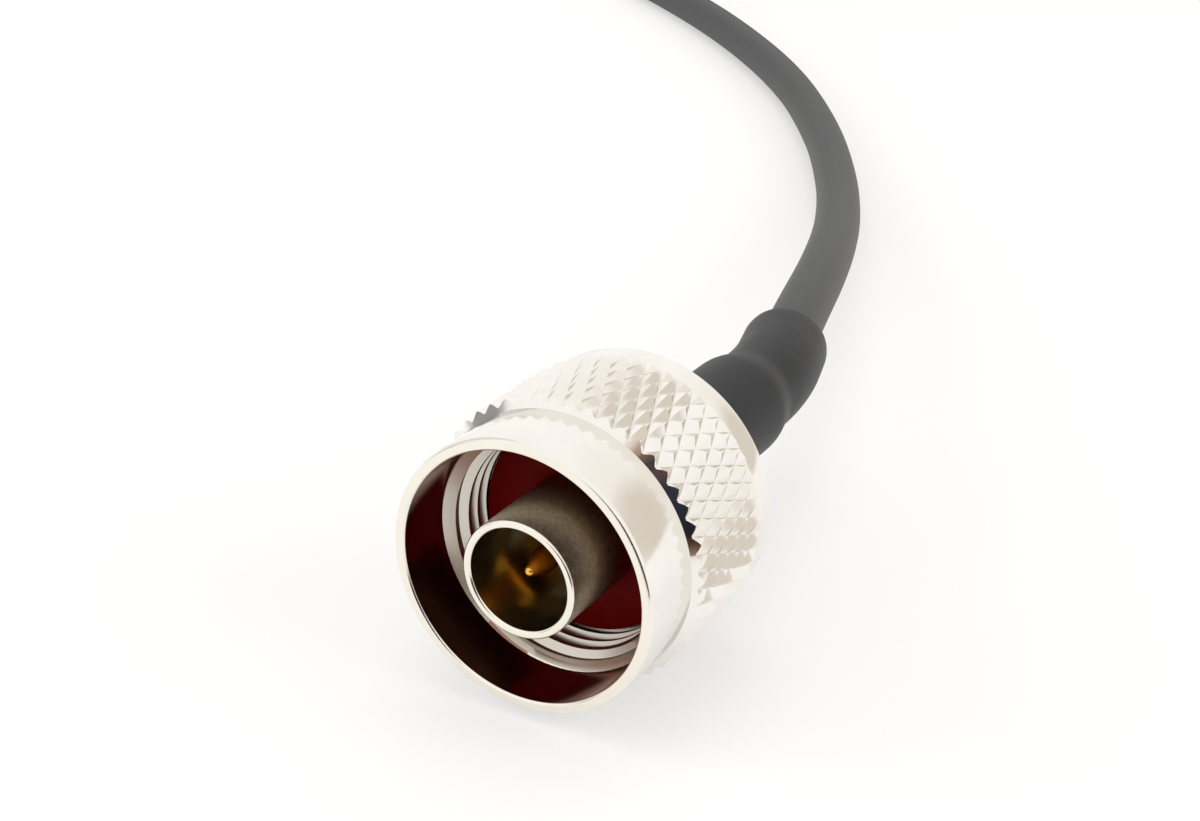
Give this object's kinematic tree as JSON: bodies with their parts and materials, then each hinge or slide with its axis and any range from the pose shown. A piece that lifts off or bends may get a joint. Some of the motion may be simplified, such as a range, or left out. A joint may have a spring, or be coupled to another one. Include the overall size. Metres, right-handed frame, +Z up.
{
  "type": "coaxial plug jumper",
  "caption": "Coaxial jumper lead: screw-coupling plug with a diamond-knurled nut, gold pin and red gasket on a black cable, and the same plug on the cable's other end.",
  "frame": {"origin": "Centre of the front face of the first plug's outer contact, on its axis: the plane that the plug mates on.", "axes": "+Z is up. The first plug's axis is Y, its mouth faces -Y and its cable leaves towards +Y. It lies on its knurl on a floor at z = -10.14 mm."},
  "size_m": [0.1266, 0.2612, 0.0202],
  "materials": {
    "nut_nickel": "bright nickel plating on turned brass",
    "body_nickel": "satin nickel plating on turned brass",
    "bead_plastic": "turned fluoropolymer",
    "pin_gold": "gold plating",
    "gasket_silicone": "moulded dark red silicone",
    "ring_bronze": "spring bronze",
    "ferrule_nickel": "nickel plating on annealed copper tube",
    "braid_tinned": "tinned copper braid",
    "insulation_plastic": "natural polythene",
    "core_copper": "stranded copper",
    "sleeve_black": "matt heat-shrunk polyolefin",
    "jacket_black": "matt extruded vinyl",
    "tie_strap": "woven strap"
  },
  "bodies": {
    "lead": {"plug_body": "body_nickel", "insulator": "bead_plastic", "centre_pin": "pin_gold", "gasket": "gasket_silicone", "retaining_ring": "ring_bronze", "crimp_ferrule": "ferrule_nickel", "cable_braid": "braid_tinned", "cable_dielectric": "insulation_plastic", "cable_core": "core_copper", "shrink_sleeve": "sleeve_black", "far_plug_body": "body_nickel", "far_insulator": "bead_plastic", "far_centre_pin": "pin_gold", "far_gasket": "gasket_silicone", "far_retaining_ring": "ring_bronze", "far_crimp_ferrule": "ferrule_nickel", "far_cable_braid": "braid_tinned", "far_cable_dielectric": "insulation_plastic", "far_cable_core": "core_copper", "far_shrink_sleeve": "sleeve_black", "cable_run": "jacket_black", "far_cable_run": "jacket_black", "cable_coil": "jacket_black", "coil_tie": "tie_strap"},
    "nut": {"coupling_nut": "nut_nickel"},
    "far_nut": {"far_coupling_nut": "nut_nickel"}
  },
  "joints": [
    {"name": "nut_turn", "type": "hinge", "parent": "lead", "child": "nut", "pos_m": [0, 0.012, 0], "axis": [0, 1, 0], "continuous": true},
    {"name": "far_nut_turn", "type": "hinge", "parent": "lead", "child": "far_nut", "pos_m": [-0.019, 0.25104, 0], "axis": [-1, 0, 0], "continuous": true}
  ]
}
